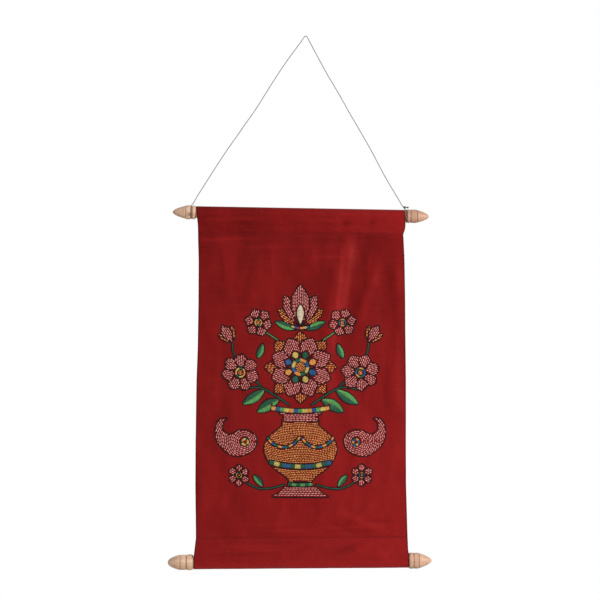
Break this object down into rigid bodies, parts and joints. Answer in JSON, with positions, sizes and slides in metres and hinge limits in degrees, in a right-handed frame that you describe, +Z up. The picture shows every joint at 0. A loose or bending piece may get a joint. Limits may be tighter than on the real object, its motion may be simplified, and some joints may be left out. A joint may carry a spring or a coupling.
{
  "type": "embroidered wall scroll on two wooden rods with a hanging string",
  "caption": "Red slubbed silk wall scroll with an embroidered motif, sewn rod pockets, turned wooden rods with finials, and a string that hangs it from one point.",
  "frame": {"origin": "the hang point: the underside of the string at its highest bend, where a nail or hook holds it", "axes": "+Z up, +X to the right seen from the front, -Y out of the front of the scroll"},
  "size_m": [0.3958, 0.0253, 0.8017],
  "materials": {
    "red_silk": "slubbed silk, soft sheen",
    "pale_wood": "plain turned, light satin",
    "grey_string": "twisted string, matte",
    "embroidery_yarn": "stranded yarn, soft sheen"
  },
  "bodies": {
    "root": {"cloth_panel": "red_silk", "top_dowel": "pale_wood", "top_finial_left": "pale_wood", "top_finial_right": "pale_wood", "bottom_dowel": "pale_wood", "bottom_finial_left": "pale_wood", "bottom_finial_right": "pale_wood", "hanging_cord": "grey_string", "cord_wrap_left": "grey_string", "cord_knot_left": "grey_string", "cord_loop_right": "grey_string", "cord_knot_right": "grey_string"}
  },
  "joints": []
}
